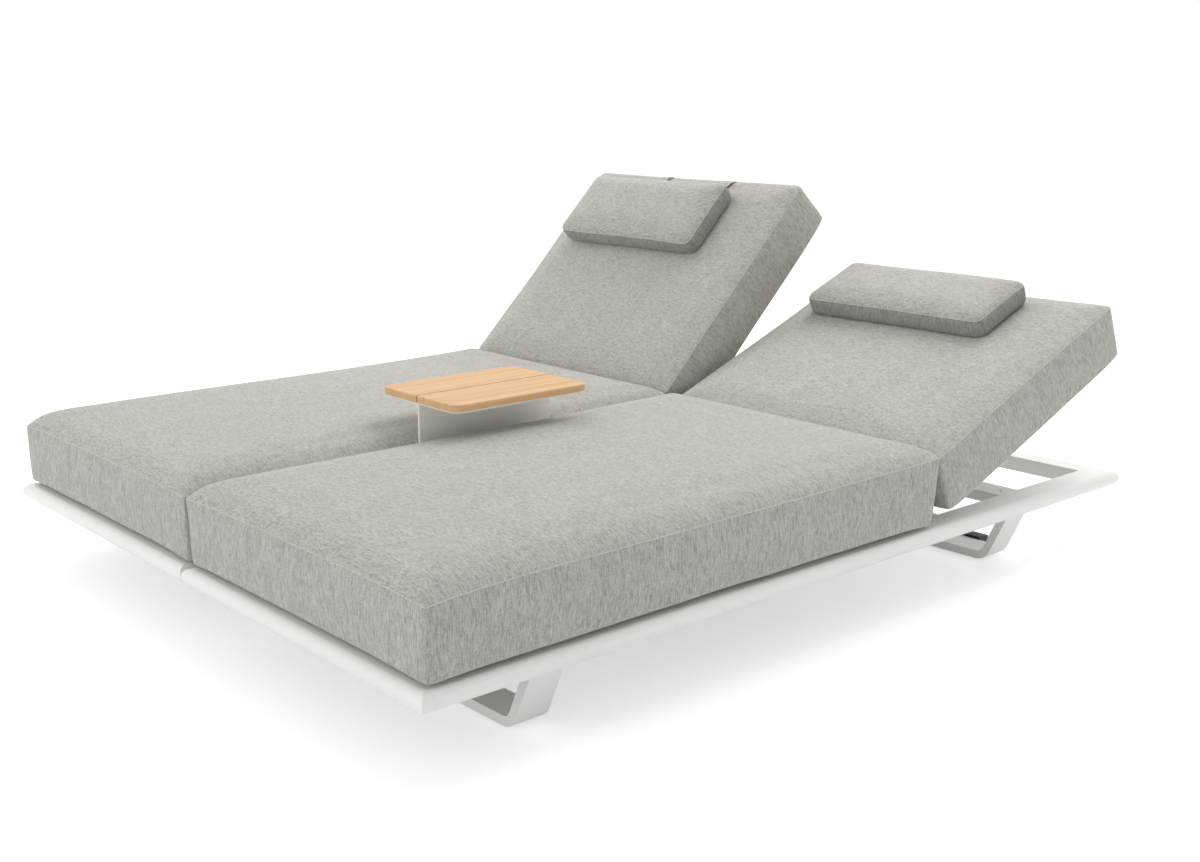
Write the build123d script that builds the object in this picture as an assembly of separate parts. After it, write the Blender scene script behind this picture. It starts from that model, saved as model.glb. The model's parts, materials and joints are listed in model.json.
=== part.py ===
from build123d import *
import math
import os

# Double chaise lounger: two low frames side by side, each with its own reclining back,
# and a small teak table between them.
# Millimetres. X across (0 at the seam between the two frames), Y from the foot end to
# the head end (0 at mid-length), Z up from the floor. The right lounger lies on +X.
# The left lounger is the mirror image of the right one, with its back set higher.

# Driving sizes
lounger_length = 2000.0
lounger_width = 800.0
seam_gap = 0.6
frame_ground_clearance = 127.5
running_gap = 0.3
screw_clearance = 0.2
overrun = 5.0

# Rails: hollow flat bar with a half-round nose all round the outside, mitred corners
rail_width = 67.0
rail_height = 35.0
rail_wall = 3.0

# Cross bars, their cleats and screws
leg_bar_width = 70.0
leg_bar_height = 24.0
bar_wall = 2.5
hinge_bar_width = 40.0
hinge_bar_forward = 2.3
cleat_length = 32.0
cleat_thickness = 4.0
cleat_side_margin = 6.0
cleat_screw_reach = 18.0
screw_shank_radius = 2.5
screw_head_radius = 6.0
screw_head_height = 3.0
screw_tail = 3.0

# Sled legs: a flat tube bent to a wide trapezoid U, with its run on the floor
foot_leg_setback = 279.0
head_leg_setback = 360.0
leg_width = 73.0
leg_thickness = 18.5
leg_wall = 3.0
leg_splay_slope = 0.45
leg_top_inset = 38.0
leg_inner_bend = 20.0
glide_thickness = 3.0
glide_length = 60.0
glide_width = 55.0
glide_corner = 8.0
glide_from_side = 150.0
heel_from_side = 186.0
heel_length = 55.0
heel_depth = 34.0
heel_height = 28.0
heel_round = 6.0

# Seat slats
slat_width = 60.0
slat_thickness = 15.0
slat_wall = 1.5
slat_rise = 3.0
seat_slat_count = 8
slat_start_gap = 32.0
foot_slat_gap = 30.0

# Cushions: box cushions, crowned on top, their sides drawn in between the corners
back_room = 700.0
seat_cushion_thickness = 140.0
seat_foot_setback = 25.0
cushion_width = 778.0
cushion_side_setback = 4.0
cushion_edge_radius = 14.0
cushion_bottom_radius = 11.0
cushion_waist_draw = 5.0
cushion_crown_across = 9.0
cushion_crown_along = 4.0
seat_crown_along = 13.0
back_cushion_length = 677.0
back_cushion_thickness = 125.0

# Backrest: hinge behind and below the fold, ladder frame, stay and toothed racks
fold_to_pivot = 56.3
pivot_behind_seat = 59.3
pivot_above_rail = 9.5
back_bottom_rise = 16.6
back_clearance = 0.4
right_recline = 21.5
left_recline = 45.0
recline_steps = (11.0, 21.5, 33.0, 45.0)
slide_length = 143.5
arm_width = 25.0
arm_drop = 8.0
arm_wall = 3.0
arm_inset = 190.0
arm_length = 615.0
arm_bore_start = 14.0
vent_radius = 3.0
vent_from_end = 14.0
head_tube_width = 30.0
back_slat_width = 45.0
back_slat_thickness = 6.0
back_slat_count = 8
back_slat_start = 16.0
back_slat_end = 562.0
back_slat_side_inset = 110.0
ear_thickness = 5.0
ear_radius = 9.0
side_gap = 0.5
hinge_pin_radius = 4.0
hinge_pin_clearance = 0.05
pin_head_radius = 6.0
pin_head_thickness = 2.0
stay_length = 240.0
stay_bar_width = 16.0
stay_bar_thickness = 5.0
stay_pin_radius = 4.0
stay_rod_radius = 6.0
rack_thickness = 6.0
rack_inset = 260.0
rack_height = 23.6
rack_rod_gap = 0.4
rack_pocket_clearance = 0.4
rack_pocket_depth = 2.4

# Pillow, held by two bands that go over the top edge of the back cushion
pillow_length = 500.0
pillow_depth = 196.0
pillow_thickness = 50.0
pillow_crown_across = 8.0
pillow_crown_along = 8.0
pillow_edge_radius = 13.0
pillow_bottom_radius = 10.0
pillow_waist_draw = 3.0
right_pillow_centre = 345.0
left_pillow_centre = 455.0
right_pillow_from_fold = 438.0
left_pillow_from_fold = 419.0
strap_width = 33.0
strap_thickness = 1.6
strap_spacing = 244.0
strap_stand_off = 6.0
strap_bend = 9.0
strap_drop = 46.0
strap_lie = 0.1

# Table: plate post on a foot flange across the two inner rails, tray and two planks
table_length = 362.0
table_width = 274.0
table_setback = 548.0
table_top_height = 420.0
plank_thickness = 15.0
plank_gap = 4.0
plank_corner = 26.0
plank_edge_round = 3.0
tray_thickness = 4.0
tray_inset = 4.0
post_thickness = 6.0
flange_width = 100.0
flange_thickness = 3.0
flange_corner = 6.0
table_screw_radius = 2.5
table_screw_head = 4.5
table_screw_bite = 9.0
table_screw_head_height = 2.5
tray_screw_inset = 45.0
flange_screw_side = 38.0
flange_screw_inset = 30.0

# Link plates that join the two frames from below
link_length = 110.0
link_width = 60.0
link_thickness = 4.0
link_corner = 6.0
link_setback = 150.0
link_bolt_radius = 3.0
link_bolt_head = 6.0
link_bolt_head_height = 4.0
link_bolt_x = 42.0
link_bolt_y = 18.0

# Places worked out from the sizes above
rail_bottom = frame_ground_clearance
rail_top = rail_bottom + rail_height
rail_mid = rail_bottom + rail_height / 2
nose_radius = rail_height / 2
frame_inner = seam_gap / 2
frame_outer = lounger_width
frame_middle = (frame_inner + frame_outer) / 2
foot_end = -lounger_length / 2
head_end = lounger_length / 2
span_inner = frame_inner + rail_width
span_outer = frame_outer - rail_width
foot_leg_y = foot_end + foot_leg_setback
head_leg_y = head_end - head_leg_setback
bar_bottom = rail_top - leg_bar_height

seat_bottom = rail_top + slat_rise + running_gap
seat_top = seat_bottom + seat_cushion_thickness
seat_foot = foot_end + seat_foot_setback
seat_rear = head_end - back_room
seat_cushion_length = seat_rear - seat_foot
table_foot_edge = foot_end + table_setback
link_places = (foot_end + link_setback, head_end - link_setback)
cushion_inner = cushion_side_setback
cushion_middle = cushion_inner + cushion_width / 2

pivot_y = seat_rear + pivot_behind_seat
pivot_z = rail_top + pivot_above_rail
back_top_rise = back_bottom_rise + back_cushion_thickness
frame_rise = back_bottom_rise - back_clearance
hinge_bar_y = pivot_y - hinge_bar_forward
arm_inner_x = frame_outer - arm_inset - arm_width
arm_outer_x = frame_outer - arm_inset
flat_back_start = pivot_y - fold_to_pivot
flat_back_end = flat_back_start + back_cushion_length
stay_outer_x = arm_inner_x - side_gap
stay_inner_x = stay_outer_x - stay_bar_thickness
stay_pin_y = pivot_y + stay_length
stay_rod_y = stay_pin_y + stay_length
rack_tip = pivot_z - stay_rod_radius - rack_rod_gap


def slide_at(angle):
    """Travel of the back cushion up its frame when the back is raised by an angle."""
    return slide_length * math.radians(angle)


def across(shape):
    """The same piece at the other side of one lounger, as its mirror image."""
    return mirror(shape, about=Plane.YZ.offset(frame_middle))


def across_x(x):
    """The same place at the other side of one lounger."""
    return 2 * frame_middle - x


def block(x0, x1, y0, y1, z0, z1):
    """A box given by its lowest and highest corners."""
    size = Box(x1 - x0, y1 - y0, z1 - z0)
    return Pos((x0 + x1) / 2, (y0 + y1) / 2, (z0 + z1) / 2) * size


def rod_x(radius, x0, x1, y, z):
    """A round bar along X."""
    return Pos((x0 + x1) / 2, y, z) * Rot(0, 90, 0) * Cylinder(radius, x1 - x0)


def post_z(radius, x, y, z0, z1):
    """A round bar along Z."""
    return Pos(x, y, (z0 + z1) / 2) * Cylinder(radius, z1 - z0)


def about_x(shape, y, z, angle):
    """The shape turned about a line along X."""
    return Pos(0, y, z) * Rot(angle, 0, 0) * Pos(0, -y, -z) * shape


def reclined(shape, angle):
    """A piece of the flat backrest, raised by an angle about its hinge."""
    return about_x(shape, pivot_y, pivot_z, angle)


def tube_along_x(x0, x1, y, width, z0, z1, wall):
    """A rectangular hollow section along X with open ends."""
    outer = block(x0, x1, y - width / 2, y + width / 2, z0, z1)
    half = width / 2 - wall
    bore = block(x0 - overrun, x1 + overrun, y - half, y + half, z0 + wall, z1 - wall)
    return outer - bore


def tube_along_y(x0, x1, y0, y1, z0, z1, wall):
    """A rectangular hollow section along Y with open ends."""
    bore = block(x0 + wall, x1 - wall, y0 - overrun, y1 + overrun, z0 + wall, z1 - wall)
    return block(x0, x1, y0, y1, z0, z1) - bore


# Frame

def rail_profile():
    """Nose to the right, inner face to the left, centred on the rail's mid-height."""
    flat = rail_width - nose_radius
    outer = Pos(flat / 2, 0) * Rectangle(flat, rail_height) + Pos(flat, 0) * Circle(nose_radius)
    bore_height = rail_height - 2 * rail_wall
    bore_flat = flat - rail_wall
    bore = Pos(rail_wall + bore_flat / 2, 0) * Rectangle(bore_flat, bore_height)
    bore += Pos(flat, 0) * Circle(nose_radius - rail_wall)
    return outer - bore


def mitred(bar, corners):
    """The bar cut to a plan outline with mitred ends."""
    plan = Pos(0, 0, rail_bottom - overrun) * make_face(Polyline(*corners, close=True))
    return bar & extrude(plan, amount=rail_height + 2 * overrun)


def side_rail(inner_face, direction):
    profile = rail_profile() if direction > 0 else mirror(rail_profile(), about=Plane.YZ)
    bar = extrude(Plane.XZ * profile, amount=lounger_length / 2 + overrun, both=True)
    tip = inner_face + direction * rail_width
    corners = (
        (tip, foot_end),
        (tip, head_end),
        (inner_face, head_end - rail_width),
        (inner_face, foot_end + rail_width),
    )
    return mitred(Pos(inner_face, 0, rail_mid) * bar, corners)


def end_rail(inner_face, direction):
    profile = rail_profile() if direction > 0 else mirror(rail_profile(), about=Plane.YZ)
    bar = extrude(Plane.YZ * profile, amount=lounger_width / 2 + overrun, both=True)
    tip = inner_face + direction * rail_width
    corners = (
        (frame_inner, tip),
        (frame_outer, tip),
        (span_outer, inner_face),
        (span_inner, inner_face),
    )
    return mitred(Pos(frame_middle, inner_face, rail_mid) * bar, corners)


def inner_rail():
    """The rail along the seam, drilled for the link bolts and the table's screws."""
    rail = side_rail(span_inner, -1)
    for y in link_places:
        for step in (-link_bolt_y, link_bolt_y):
            radius = link_bolt_radius + screw_clearance
            high = rail_bottom + rail_wall + overrun
            rail -= post_z(radius, link_bolt_x, y + step, rail_bottom - overrun, high)
    for y in flange_screw_places():
        radius = table_screw_radius + screw_clearance
        rail -= post_z(radius, flange_screw_side, y, rail_top - rail_wall - overrun, rail_top + overrun)
    return rail


def bar_places():
    """Centre and width of each cross bar that stands on cleats."""
    return (
        (foot_leg_y, leg_bar_width),
        (head_leg_y, leg_bar_width),
        (hinge_bar_y, hinge_bar_width),
    )


def screw_xs():
    return (span_inner + cleat_screw_reach, span_outer - cleat_screw_reach)


def cross_bar(y, width):
    bar = tube_along_x(span_inner, span_outer, y, width, bar_bottom, rail_top, bar_wall)
    for x in screw_xs():
        radius = screw_shank_radius + screw_clearance
        bar -= post_z(radius, x, y, bar_bottom - overrun, rail_top + overrun)
    return bar


def bar_cleats():
    """Tabs welded to the side rails' inner faces, one under each bar end."""
    cleats = Part()
    for y, width in bar_places():
        half = width / 2 - cleat_side_margin
        low = bar_bottom - cleat_thickness
        tab = block(span_outer - cleat_length, span_outer, y - half, y + half, low, bar_bottom)
        radius = screw_shank_radius + screw_clearance
        tab -= post_z(radius, screw_xs()[-1], y, low - overrun, bar_bottom + overrun)
        cleats += [tab, across(tab)]
    return cleats


def bar_screws():
    """Domed screws down through each bar end and its cleat."""
    screws = Part()
    for y, width in bar_places():
        for x in screw_xs():
            screws += button_screw(x, y)
    return screws


def button_screw(x, y):
    head = Pos(x, y, rail_top) * Cone(
        screw_head_radius,
        screw_head_radius / 2,
        screw_head_height,
        align=(Align.CENTER, Align.CENTER, Align.MIN),
    )
    tail = bar_bottom - cleat_thickness - screw_tail
    return head + post_z(screw_shank_radius, x, y, tail, rail_top)


def seat_slats():
    """Flat tubes between the side rails, from the foot leg's bar to the hinge bar."""
    first = foot_leg_y + leg_bar_width / 2 + slat_start_gap + slat_width / 2
    last = hinge_bar_y - hinge_bar_width / 2 - slat_start_gap - slat_width / 2
    pitch = (last - first) / (seat_slat_count - 1)
    places = [first + pitch * step for step in range(seat_slat_count)]
    places.append(foot_end + rail_width + foot_slat_gap + slat_width / 2)
    top = rail_top + slat_rise
    slats = Part()
    for y in places:
        slats += tube_along_x(span_inner, span_outer, y, slat_width, top - slat_thickness, top, slat_wall)
    return slats


# Sled legs

def leg_outline(inset, bend):
    """The trapezoid of the leg's outside, moved in by an inset, open over the top."""
    slant = math.hypot(1, leg_splay_slope)
    floor = glide_thickness + inset
    top = rail_bottom + overrun
    half = frame_outer - leg_top_inset - frame_middle
    half_top = half - inset * slant + leg_splay_slope * overrun
    half_floor = half_top - leg_splay_slope * (top - floor)
    corners = ((-half_top, top), (-half_floor, floor), (half_floor, floor), (half_top, top))
    face = make_face(Polyline(*corners, close=True))
    return fillet(face.vertices().sort_by(Axis.Y)[:2], bend)


def leg_band(outer_inset, inner_inset, width):
    """The bent bar between two insets, as wide as given, centred on X and Y."""
    outer_bend = leg_inner_bend + leg_thickness - outer_inset
    inner_bend = leg_inner_bend + leg_thickness - inner_inset
    face = leg_outline(outer_inset, outer_bend) - leg_outline(inner_inset, inner_bend)
    return extrude(Plane.XZ * face, amount=width / 2, both=True)


def sled_leg(y):
    bar = leg_band(0, leg_thickness, leg_width)
    bore = leg_band(leg_wall, leg_thickness - leg_wall, leg_width - 2 * leg_wall)
    leg = bar - bore
    reach = lounger_width
    leg -= block(-reach, reach, -reach, reach, rail_bottom, rail_bottom + reach)
    return Pos(frame_middle, y, 0) * leg


def floor_pad(x, y0, y1, length):
    """A flat plastic pad between the floor and the leg's run."""
    plan = Pos(x, (y0 + y1) / 2) * RectangleRounded(length, y1 - y0, glide_corner)
    return extrude(plan, amount=glide_thickness)


def foot_glides():
    pad = floor_pad(
        frame_outer - glide_from_side,
        foot_leg_y - glide_width / 2,
        foot_leg_y + glide_width / 2,
        glide_length,
    )
    return Part() + [pad, across(pad)]


def heel_glides():
    """Pads that run out behind the head leg and stand up as a heel."""
    x = frame_outer - heel_from_side
    rear = head_leg_y + leg_width / 2
    pad = floor_pad(x, rear - glide_width, rear + heel_depth, heel_length)
    half = heel_length / 2
    heel = block(x - half, x + half, rear, rear + heel_depth, glide_thickness, heel_height)
    heel = fillet(heel.edges().filter_by(Axis.X).group_by(Axis.Z)[-1].sort_by(Axis.Y)[-1], heel_round)
    shoe = pad + heel
    return Part() + [shoe, across(shoe)]


# Cushions

def mirrored(point):
    """The same point of a section at its other side."""
    return (-point[0], point[1])


def cushion_section(y, half, low, high, rise, edge, bottom_edge):
    """One closed slice across a cushion: flat base, upright flanks and crowned top."""
    turned = math.sqrt(0.5)
    edge_turn = edge * (1 - turned)
    base_turn = bottom_edge * (1 - turned)
    base_end = (half - bottom_edge, low)
    base_bend = (half - base_turn, low + base_turn)
    flank_low = (half, low + bottom_edge)
    flank_high = (half, high - edge)
    edge_bend = (half - edge_turn, high - edge_turn)
    crown_end = (half - edge, high)
    outline = [
        Line(mirrored(base_end), base_end),
        ThreePointArc(base_end, base_bend, flank_low),
        Line(flank_low, flank_high),
        ThreePointArc(flank_high, edge_bend, crown_end),
        ThreePointArc(crown_end, (0, high + rise), mirrored(crown_end)),
        ThreePointArc(mirrored(crown_end), mirrored(edge_bend), mirrored(flank_high)),
        Line(mirrored(flank_high), mirrored(flank_low)),
        ThreePointArc(mirrored(flank_low), mirrored(base_bend), mirrored(base_end)),
    ]
    plane = Plane(origin=(0, y, 0), x_dir=(1, 0, 0), z_dir=(0, -1, 0))
    return plane * make_face(Curve() + outline)


def cushion(length, width, top, crown_across, crown_along, edge, bottom_edge, waist_draw):
    """A crowned box cushion along Y from zero, its base on zero, centred on X.

    It is lofted through slices. The slices at its ends shrink round the edges, and its
    sides draw in between the corners.
    """
    end_angles = (0, 30, 60, 90)
    body_shares = (0.08, 0.2, 0.35, 0.5, 0.65, 0.8, 0.92)
    ends = [(1 - math.cos(math.radians(turn)), 1 - math.sin(math.radians(turn))) for turn in end_angles]
    stations = [(edge * y, edge * inset) for y, inset in ends]
    stations += [(length * share, 0) for share in body_shares]
    stations += [(length - edge * y, edge * inset) for y, inset in reversed(ends)]
    sections = []
    for y, inset in stations:
        from_middle = abs(2 * y / length - 1)
        half = width / 2 - waist_draw * (1 - from_middle ** 2) - inset
        rise = crown_across + crown_along * (1 - from_middle ** 2)
        sections.append(cushion_section(y, half, inset, top - inset, rise, edge, bottom_edge))
    return loft(Sketch() + sections, ruled=True)


def big_cushion(length, thickness, crown_along):
    return cushion(
        length,
        cushion_width,
        thickness,
        cushion_crown_across,
        crown_along,
        cushion_edge_radius,
        cushion_bottom_radius,
        cushion_waist_draw,
    )


def seat_cushion():
    body = big_cushion(seat_cushion_length, seat_cushion_thickness, seat_crown_along)
    return Pos(cushion_middle, seat_foot, seat_bottom) * body


def back_cushion(angle):
    body = big_cushion(back_cushion_length, back_cushion_thickness, cushion_crown_along)
    start = flat_back_start + slide_at(angle)
    return reclined(Pos(cushion_middle, start, pivot_z + back_bottom_rise) * body, angle)


# Backrest frame

def hinge_ears():
    """Plates welded upright on the hinge bar, one each side of an arm."""
    ears = Part()
    for x in (arm_inner_x - side_gap - ear_thickness, arm_outer_x + side_gap):
        ear = rod_x(ear_radius, x, x + ear_thickness, pivot_y, pivot_z)
        ear += block(x, x + ear_thickness, pivot_y - ear_radius, pivot_y + ear_radius, rail_top, pivot_z)
        ear -= rod_x(hinge_pin_radius, x - overrun, x + ear_thickness + overrun, pivot_y, pivot_z)
        ears += [ear, across(ear)]
    return ears


def hinge_pins():
    """Pins through two ears and an arm, headed at both ends."""
    x0 = arm_inner_x - side_gap - ear_thickness
    x1 = arm_outer_x + side_gap + ear_thickness
    pin = rod_x(hinge_pin_radius, x0, x1, pivot_y, pivot_z)
    pin += rod_x(pin_head_radius, x0 - pin_head_thickness, x0, pivot_y, pivot_z)
    pin += rod_x(pin_head_radius, x1, x1 + pin_head_thickness, pivot_y, pivot_z)
    return Part() + [pin, across(pin)]


def backrest_arms():
    """Hollow arms under the slats, each with its hinge eye and the stud that carries the stay."""
    low = pivot_z - arm_drop
    high = pivot_z + frame_rise - back_slat_thickness
    end = pivot_y + arm_length
    arm = block(arm_inner_x, arm_outer_x, pivot_y, end, low, high)
    arm += rod_x(arm_drop, arm_inner_x, arm_outer_x, pivot_y, pivot_z)
    arm -= block(
        arm_inner_x + arm_wall,
        arm_outer_x - arm_wall,
        pivot_y + arm_bore_start,
        end - arm_wall,
        low + arm_wall,
        high - arm_wall,
    )
    middle = (arm_inner_x + arm_outer_x) / 2
    arm -= post_z(vent_radius, middle, end - vent_from_end, low - overrun, low + 2 * arm_wall)
    eye = hinge_pin_radius + hinge_pin_clearance
    arm -= rod_x(eye, arm_inner_x - overrun, arm_outer_x + overrun, pivot_y, pivot_z)
    stud_end = stay_inner_x - side_gap
    arm += rod_x(stay_pin_radius, stud_end, arm_inner_x + arm_wall, stay_pin_y, pivot_z)
    arm += rod_x(pin_head_radius, stud_end - pin_head_thickness, stud_end, stay_pin_y, pivot_z)
    return Part() + [arm, across(arm)]


def backrest_head_bar():
    """The tube between the two arms at their head end."""
    low = pivot_z - arm_drop
    y = pivot_y + arm_length - head_tube_width / 2
    inner = across_x(arm_inner_x)
    high = pivot_z + frame_rise - back_slat_thickness
    return tube_along_x(inner, arm_inner_x, y, head_tube_width, low, high, arm_wall)


def backrest_slats():
    """Flat bars across the tops of the two arms, standing out past them."""
    first = pivot_y + back_slat_start
    pitch = (back_slat_end - back_slat_start - back_slat_width) / (back_slat_count - 1)
    high = pivot_z + frame_rise
    low = high - back_slat_thickness
    side = frame_outer - back_slat_side_inset
    slats = Part()
    for step in range(back_slat_count):
        y = first + pitch * step
        slats += block(across_x(side), side, y, y + back_slat_width, low, high)
    return slats


def stay_posed(shape, angle):
    """A piece of the flat stay, folded down by twice the angle while the back rises."""
    folded = about_x(shape, stay_pin_y, pivot_z, -2 * angle)
    return reclined(folded, angle)


def stay_plates():
    """Flat bars from the arms' studs to the rod."""
    half = stay_bar_width / 2
    plate = block(stay_inner_x, stay_outer_x, stay_pin_y, stay_rod_y, pivot_z - half, pivot_z + half)
    plate += rod_x(half, stay_inner_x, stay_outer_x, stay_pin_y, pivot_z)
    plate += rod_x(half, stay_inner_x, stay_outer_x, stay_rod_y, pivot_z)
    eye = stay_pin_radius + hinge_pin_clearance
    plate -= rod_x(eye, stay_inner_x - overrun, stay_outer_x + overrun, stay_pin_y, pivot_z)
    return Part() + [plate, across(plate)]


def stay_rod():
    return rod_x(stay_rod_radius, across_x(stay_inner_x), stay_inner_x, stay_rod_y, pivot_z)


def stay_racks():
    """Toothed plates from the head leg's bar to the head rail, under the stay's rod."""
    front = head_leg_y + leg_bar_width / 2
    rear = head_end - rail_width
    x0 = frame_outer - rack_inset - rack_thickness
    plate = block(x0, x0 + rack_thickness, front, rear, rack_tip - rack_height, rack_tip)
    pocket = stay_rod_radius + rack_pocket_clearance
    for angle in recline_steps:
        y = pivot_y + 2 * stay_length * math.cos(math.radians(angle))
        centre = rack_tip - rack_pocket_depth + pocket
        plate -= rod_x(pocket, x0 - overrun, x0 + rack_thickness + overrun, y, centre)
    return Part() + [plate, across(plate)]


# Pillow

def pillow_base():
    """Height of the pillow's underside over the flat backrest, clear of the crown."""
    crown = cushion_crown_across + cushion_crown_along
    return pivot_z + back_top_rise + crown + running_gap


def pillow(angle, centre, from_fold):
    body = cushion(
        pillow_depth,
        pillow_length,
        pillow_thickness,
        pillow_crown_across,
        pillow_crown_along,
        pillow_edge_radius,
        pillow_bottom_radius,
        pillow_waist_draw,
    )
    start = flat_back_start + slide_at(angle) + from_fold
    return reclined(Pos(centre, start, pillow_base()) * body, angle)


def pillow_straps(angle, from_fold):
    """Two bands from the pillow's upper edge, over the cushion's end and down behind it."""
    zero = flat_back_start + slide_at(angle)
    start = zero + from_fold + pillow_depth + running_gap
    over = pillow_base() + strap_stand_off
    back = zero + back_cushion_length + strap_thickness / 2 + strap_lie
    down = over - strap_drop - strap_stand_off
    straps = Part()
    for x in (cushion_middle - strap_spacing / 2, cushion_middle + strap_spacing / 2):
        path = FilletPolyline((x, start, over), (x, back, over), (x, back, down), radius=strap_bend)
        plane = Plane(origin=(x, start, over), x_dir=(1, 0, 0), z_dir=(0, 1, 0))
        straps += sweep(plane * Rectangle(strap_width, strap_thickness), path=path)
    return reclined(straps, angle)


# Table

def table_middle():
    return table_foot_edge + table_length / 2


def flange_screw_places():
    far = table_foot_edge + table_length - flange_screw_inset
    return (table_foot_edge + flange_screw_inset, table_middle(), far)


def tray_top():
    return table_top_height - plank_thickness


def rounded_plate(width, length, corner, z, thickness):
    plan = Pos(0, table_middle(), z) * RectangleRounded(width, length, corner)
    return extrude(plan, amount=thickness)


def table_post():
    """Upright plate welded on a foot flange that lies across the two inner rails."""
    flange = rounded_plate(flange_width, table_length, flange_corner, rail_top, flange_thickness)
    for y in flange_screw_places():
        for x in (-flange_screw_side, flange_screw_side):
            hole = table_screw_radius + screw_clearance
            sink = table_screw_head + screw_clearance
            flange -= post_z(hole, x, y, rail_top - overrun, rail_top + flange_thickness + overrun)
            flange -= Pos(x, y, rail_top + flange_thickness - table_screw_head_height) * Cone(
                hole,
                sink,
                table_screw_head_height,
                align=(Align.CENTER, Align.CENTER, Align.MIN),
            )
    base = rail_top + flange_thickness
    top = tray_top() - tray_thickness
    front = table_foot_edge + tray_inset
    rear = table_foot_edge + table_length - tray_inset
    plate = block(-post_thickness / 2, post_thickness / 2, front, rear, base, top)
    return flange + plate


def tray_screw_places():
    near = table_foot_edge + tray_screw_inset
    far = table_foot_edge + table_length - tray_screw_inset
    side = table_width / 2 - tray_screw_inset
    return [(x, y) for x in (-side, side) for y in (near, far)]


def table_tray():
    z = tray_top() - tray_thickness
    width = table_width - 2 * tray_inset
    tray = rounded_plate(width, table_length - 2 * tray_inset, plank_corner, z, tray_thickness)
    for x, y in tray_screw_places():
        radius = table_screw_radius + screw_clearance
        tray -= post_z(radius, x, y, z - overrun, z + tray_thickness + overrun)
    return tray


def table_plank():
    """The right-hand plank, with its two outer corners rounded in plan."""
    plan = Pos(0, table_middle(), tray_top()) * RectangleRounded(table_width, table_length, plank_corner)
    boards = extrude(plan, amount=plank_thickness)
    edge_faces = boards.faces().sort_by(Axis.Z)
    boards = fillet(edge_faces[-1].edges(), plank_edge_round)
    half = block(plank_gap / 2, table_width, -lounger_length, lounger_length, tray_top(), table_top_height)
    plank = boards & half
    for x, y in tray_screw_places():
        if x > 0:
            plank -= post_z(table_screw_radius, x, y, tray_top() - overrun, tray_top() + table_screw_bite)
    return plank


def countersunk_screw(x, y, top, length):
    head = Pos(x, y, top - table_screw_head_height) * Cone(
        table_screw_radius,
        table_screw_head,
        table_screw_head_height,
        align=(Align.CENTER, Align.CENTER, Align.MIN),
    )
    return head + post_z(table_screw_radius, x, y, top - length, top - table_screw_head_height)


def flange_screws():
    """Countersunk screws down through the foot flange into the rails' top wall."""
    length = flange_thickness + rail_wall + screw_tail
    screws = Part()
    for y in flange_screw_places():
        for x in (-flange_screw_side, flange_screw_side):
            screws += countersunk_screw(x, y, rail_top + flange_thickness, length)
    return screws


def tray_screws():
    """Pan-head screws up through the tray into the planks."""
    z = tray_top() - tray_thickness
    screws = Part()
    for x, y in tray_screw_places():
        tip = tray_top() + table_screw_bite - screw_clearance
        shank = post_z(table_screw_radius - screw_clearance, x, y, z, tip)
        screws += shank + post_z(table_screw_head, x, y, z - table_screw_head_height, z)
    return screws


# Links

def link_plates():
    plates = Part()
    z = rail_bottom - link_thickness
    for y in link_places:
        plan = Pos(0, y, z) * RectangleRounded(link_length, link_width, link_corner)
        plate = extrude(plan, amount=link_thickness)
        for x, step in link_bolt_offsets():
            radius = link_bolt_radius + screw_clearance
            plate -= post_z(radius, x, y + step, z - overrun, rail_bottom + overrun)
        plates += plate
    return plates


def link_bolt_offsets():
    sides = (-link_bolt_x, link_bolt_x)
    return [(x, step) for x in sides for step in (-link_bolt_y, link_bolt_y)]


def link_bolts():
    bolts = Part()
    z = rail_bottom - link_thickness
    for y in link_places:
        for x, step in link_bolt_offsets():
            shank = post_z(link_bolt_radius, x, y + step, z, rail_bottom + rail_wall + screw_tail)
            head = post_z(link_bolt_head, x, y + step, z - link_bolt_head_height, z)
            bolts += shank + head
    return bolts


def lounger_pieces(angle, pillow_centre, pillow_from_fold):
    """Every piece of one lounger, built on the right-hand side."""
    return {
        "outer_rail": side_rail(span_outer, 1),
        "inner_rail": inner_rail(),
        "foot_rail": end_rail(foot_end + rail_width, -1),
        "head_rail": end_rail(head_end - rail_width, 1),
        "foot_leg_bar": cross_bar(foot_leg_y, leg_bar_width),
        "head_leg_bar": cross_bar(head_leg_y, leg_bar_width),
        "hinge_bar": cross_bar(hinge_bar_y, hinge_bar_width),
        "bar_cleats": bar_cleats(),
        "bar_screws": bar_screws(),
        "seat_slats": seat_slats(),
        "foot_sled_leg": sled_leg(foot_leg_y),
        "head_sled_leg": sled_leg(head_leg_y),
        "foot_leg_glides": foot_glides(),
        "heel_glides": heel_glides(),
        "hinge_ears": hinge_ears(),
        "hinge_pins": hinge_pins(),
        "stay_racks": stay_racks(),
        "seat_cushion": seat_cushion(),
        "backrest_arms": reclined(backrest_arms(), angle),
        "backrest_head_bar": reclined(backrest_head_bar(), angle),
        "backrest_slats": reclined(backrest_slats(), angle),
        "stay_plates": stay_posed(stay_plates(), angle),
        "stay_rod": stay_posed(stay_rod(), angle),
        "back_cushion": back_cushion(angle),
        "pillow": pillow(angle, pillow_centre, pillow_from_fold),
        "pillow_straps": pillow_straps(angle, pillow_from_fold),
    }


def shared_pieces():
    """The pieces between the two loungers."""
    plank = table_plank()
    return {
        "link_plates": link_plates(),
        "link_bolts": link_bolts(),
        "table_post": table_post(),
        "table_tray": table_tray(),
        "teak_plank_right": plank,
        "teak_plank_left": mirror(plank, about=Plane.YZ),
        "table_screws": flange_screws() + tray_screws(),
    }


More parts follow.
